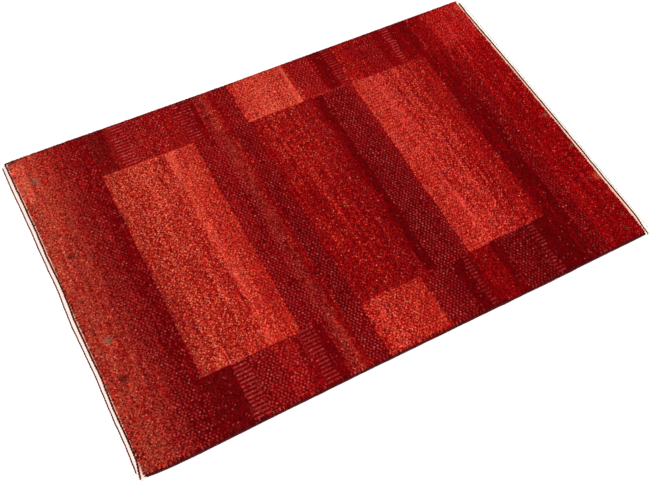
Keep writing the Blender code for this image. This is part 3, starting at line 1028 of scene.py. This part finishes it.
def make_band(node, outward, cords, yarn, peach_reach, material):
    """A plain-woven end, dented where its twined cords lie."""
    rings = stations(node, 1)
    at = np.array([ring[:, 1].mean() for ring in rings])
    reach = np.array([outward * (outward * ring[:, 0]).max() for ring in rings])
    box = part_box(node)
    count = 2 * BAND_WARPS + 1
    y = np.linspace(box[0].y, box[1].y, count)
    inner = np.full(count, box[1].x if outward < 0 else box[0].x)
    outer = np.interp(y, at, reach)
    outer = outer + wander(count, 5, 0.25 * MM) + wander(count, 60, 0.3 * MM)
    cord = centre_line(cords[0], 1)
    least = np.interp(y, cord[:, 1], cord[:, 0]) + outward * BAND_PAST_CORD
    from_corner = np.minimum(y - y[0], y[-1] - y) / BAND_CORNER
    outer = least + (outer - least) * np.clip(from_corner, 0, 1) ** 0.7
    steps = 2 * BAND_WEFTS
    share = np.linspace(0, 1, steps + 1)
    x = inner[:, None] + (outer - inner)[:, None] * share[None]
    warp, weft = np.arange(count)[:, None], np.arange(steps + 1)[None]
    relief = np.sin(math.pi / 2 * warp) * np.sin(math.pi / 2 * weft)
    z = BAND_THICKNESS + WEAVE_RELIEF * (relief - 1)
    z = z + BAND_WAVE * smooth_noise(count, steps + 1, 14, 5)
    for cord in cords:
        line = centre_line(cord, 1)
        away = x - np.interp(y, line[:, 1], line[:, 0])[:, None]
        z = z - GROOVE_DEPTH * np.exp(-((away / GROOVE_REACH) ** 4))
    lip = np.clip((share - 1) / BAND_LIP_SHARE + 1, 0, 1)
    z = BAND_LIP_HEIGHT + (z - BAND_LIP_HEIGHT) * np.sqrt(1 - 0.95 * lip**2)[None]
    rim = np.clip(np.minimum(np.arange(count), np.arange(count)[::-1]) / 2, 0.05, 1) ** 0.5
    z = z * rim[:, None]
    drawn = np.where(outward < 0, near_draw(y - y[0] + PILE_LOW.x), 0)
    along = y[:, None] + drawn[:, None] * (1 - share)
    top = np.stack([x, along, z], -1)
    foot = top[:, [-1, 0]] * np.array([1, 1, 0])
    grid = np.concatenate([top, foot], 1)
    # The weave's raised crossings are painted a little lighter and its hollows darker, as painted
    # shade; the rest of the change is random
    tone = 1 + 0.05 * relief + 0.05 * smooth_noise(count, steps + 1, 7, 3)
    near_pile = np.clip(0.5 + (peach_reach - share) / PEACH_BLEND, 0, 1)[None, :, None]
    near_pile = near_pile * np.clip(from_corner, 0, 1)[:, None, None]
    colours = linear(YARNS[yarn]) * tone[..., None]
    colours = colours + (linear(YARNS["peach"]) - colours) * near_pile
    colours = np.concatenate([colours, colours[:, [-1, 0]]], 1)
    if outward > 0:
        grid, colours = grid[::-1], colours[::-1]
    fuzz_roots = np.stack([outer - outward * FUZZ_INSET, y, np.full(count, 0.7 * MM)], -1)[::2]
    number = len(fuzz_roots)
    fuzz_tips = fuzz_roots.copy()
    fuzz_tips[:, 0] += outward * FUZZ_LENGTH * rng.uniform(0.5, 1.0, number) ** 2
    fuzz_tips[:, 1] += FUZZ_SPREAD * rng.uniform(-1, 1, number)
    fuzz_tips[:, 2] = MM * rng.uniform(0.2, 1.3, number)
    fuzz_colours = linear(YARNS[yarn]) * rng.uniform(0.85, 1.05, number)[:, None]
    radii = FUZZ_RADIUS * rng.uniform(0.5, 1.2, number)
    parts = [
        grid_part(grid, colours, 6, wrap=True, shelf=BAND_SHELF),
        # The fuzz roots are painted at 0.9 of their colour, as painted shade
        tuft_part(fuzz_roots, fuzz_tips, radii, fuzz_colours, 0.9, shelf=FUZZ_SHELF),
    ]
    return make_piece(f"woven_{node}", parts, material, "band_wool", node)


def strand_part(path, radius, yarn, shelf):
    """One strand of yarn along a path, pointed at both ends."""
    count = len(path)
    tangent = np.gradient(path, axis=0)
    tangent /= np.linalg.norm(tangent, axis=1)[:, None]
    side = np.cross(tangent, np.array([0.0, 0.0, 1.0]))
    side /= np.linalg.norm(side, axis=1)[:, None]
    other = np.cross(side, tangent)
    angle = np.linspace(0, 2 * math.pi, STRAND_FACETS, endpoint=False)
    taper = np.clip(np.minimum(np.arange(count), np.arange(count)[::-1]) / 3, 0.05, 1)
    swell = radius * taper * (1 + wander(count, 6, 0.08))
    cosine, sine = np.cos(angle)[None, :, None], np.sin(angle)[None, :, None]
    ring = side[:, None] * cosine + other[:, None] * sine
    grid = path[:, None] + ring * swell[:, None, None]
    grid[..., 2] = np.maximum(grid[..., 2], FLOOR_CLEARANCE)
    shade = 1 + 0.35 * smooth_noise(count, STRAND_FACETS, 3, 2)
    colours = linear(YARNS[yarn]) * np.clip(shade, 0.3, 2)[..., None]
    return grid_part(grid, colours, 5, wrap=True, shelf=shelf)


def resample(points, count):
    """Evenly spaced points along a path."""
    lengths = np.linalg.norm(np.diff(points, axis=0), axis=1)
    along = np.concatenate([[0], np.cumsum(lengths)])
    at = np.linspace(0, along[-1], count)
    return np.stack([np.interp(at, along, points[:, axis]) for axis in range(3)], -1), at


# Each cord stops short of the rug's near and far corners by its cuts, and its draws bend its ends
# along the rug. A tail is where its loose near end lies, in millimetres from its start
Guard = namedtuple(
    "Guard", "node radius first second slot near_cut far_cut near_draw far_draw tail"
)
GUARD_DRAW_REACH = 36 * MM
GUARDS = (
    Guard("guard_cord_left_inner", 1.65 * MM, "black", "brown", "dark_guard_yarn",
          3.6 * MM, 0.5 * MM, -2.8 * MM, 0.0, ((-0.1, -0.8, 0.9), (-0.4, -1.4, 0.7))),
    Guard("guard_cord_left_outer", 1.00 * MM, "black", "brown", "dark_guard_yarn",
          13.5 * MM, 5.0 * MM, 0.0, 0.0, ()),
    Guard("guard_cord_right_inner", 1.50 * MM, "black", "brown", "dark_guard_yarn",
          1.5 * MM, 5.0 * MM, -2.8 * MM, 2.4 * MM, ((-0.5, -1.4, 0.9), (-1.2, -2.4, 0.7))),
    Guard("guard_cord_right_outer", 0.70 * MM, "ash", "undyed", "pale_guard_yarn",
          9.0 * MM, 9.0 * MM, 0.0, 0.0, ()),
)


def make_guard(guard, material):
    """A cord of two yarns twined round the warps."""
    line, along = resample(centre_line(guard.node, 1), 400)
    line[:, 0] += guard.near_draw * np.clip(1 - (along / GUARD_DRAW_REACH) ** 2, 0, 1)
    line[:, 0] += guard.far_draw * np.clip(1 - ((along[-1] - along) / GUARD_DRAW_REACH) ** 2, 0, 1)
    line = line[(along > guard.near_cut) & (along < along[-1] - guard.far_cut)]
    if guard.tail:
        start = line[0] * np.array([1, 1, 0])
        ends = [start + MM * np.array(step) for step in guard.tail[::-1]]
        line = np.concatenate([ends, line])
    count = GUARD_STEPS + 1
    path, along = resample(line, count)
    path[:, 0] += wander(count, 14, GUARD_WANDER)
    phase = 2 * math.pi * (along / GUARD_PITCH + wander(count, 30, 0.12))
    parts = []
    for index, yarn in enumerate((guard.first, guard.second)):
        turn = phase + math.pi * index
        offset = np.stack([np.cos(turn), np.zeros(count), np.sin(turn)], -1)
        strand = path + STRAND_OFFSET * guard.radius * offset
        parts.append(strand_part(strand, STRAND_RADIUS * guard.radius, yarn, (index, 2)))
    return make_piece(f"twined_{guard.node}", parts, material, guard.slot, guard.node)


# Floor, light and camera. The floor lies a hair lower than the rug's underside

FLOOR_SIZE = 30
FLOOR_LEVEL = -0.0002
FLOOR_SHADE = 0.93
AIR_LIGHT = 0.75
LAMP_WATTS = 150.0
LAMP_SIZE = (2.6, 2.2)
LAMP_PLACE = (-0.9, -1.7, 3.8)
SENSOR_WIDTH = 36.0
LENS = 50.0
CAMERA_PLACE = (-0.4731, -0.7269, 1.2883)
CAMERA_ANGLES = (31.21, -3.09, -28.20)


def studio():
    scene = bpy.context.scene
    scene.view_settings.view_transform = "Standard"
    bpy.ops.mesh.primitive_plane_add(size=FLOOR_SIZE, location=(0, 0, FLOOR_LEVEL))
    floor = bpy.context.object
    floor.name = "floor"
    material = bpy.data.materials.new("pale_floor")
    material.use_nodes = True
    shader = material.node_tree.nodes["Principled BSDF"]
    put(shader, {"Base Color": (*[FLOOR_SHADE] * 3, 1.0)})
    put(shader, {"Roughness": 1.0, "Specular IOR Level": 0.0})
    floor.data.materials.append(material)

    world = bpy.data.worlds.new("studio_air")
    world.use_nodes = True
    background = world.node_tree.nodes["Background"]
    put(background, {"Color": (1.0, 1.0, 1.0, 1.0), "Strength": AIR_LIGHT})
    scene.world = world

    lamp = bpy.data.lights.new("soft_box", "AREA")
    lamp.shape = "RECTANGLE"
    lamp.size, lamp.size_y = LAMP_SIZE
    lamp.energy = LAMP_WATTS
    soft_box = bpy.data.objects.new("soft_box", lamp)
    soft_box.location = LAMP_PLACE
    aim = (Vector((0, 0, 0)) - soft_box.location).to_track_quat("-Z", "Y")
    soft_box.rotation_euler = aim.to_euler()
    scene.collection.objects.link(soft_box)


def photo_camera():
    data = bpy.data.cameras.new("photo_camera")
    data.sensor_width = SENSOR_WIDTH
    data.lens = LENS
    data.clip_start, data.clip_end = 0.01, 100.0
    camera = bpy.data.objects.new("photo_camera", data)
    camera.location = CAMERA_PLACE
    camera.rotation_euler = [math.radians(angle) for angle in CAMERA_ANGLES]
    bpy.context.scene.collection.objects.link(camera)
    bpy.context.scene.camera = camera


def build():
    colours = knot_colours()
    pile_wool = wool_material(PILE_LOOK)
    cord_wool = wool_material(CORD_LOOK)
    plain_wool = wool_material(BAND_LOOK)
    slices = make_pile(colours, pile_wool)
    rim = make_rim(colours, pile_wool)
    ground = make_ground(colours, pile_wool)
    sides = [make_side(run, cord_wool) for run in SIDE_RUNS]
    left_cords = ("guard_cord_left_inner", "guard_cord_left_outer")
    right_cords = ("guard_cord_right_inner", "guard_cord_right_outer")
    bands = [
        make_band("end_band_left", -1, left_cords, "cream", 0.40, plain_wool),
        make_band("end_band_right", 1, right_cords, "undyed", 0.46, plain_wool),
    ]
    guards = [make_guard(guard, cord_wool) for guard in GUARDS]


studio()
photo_camera()
build()
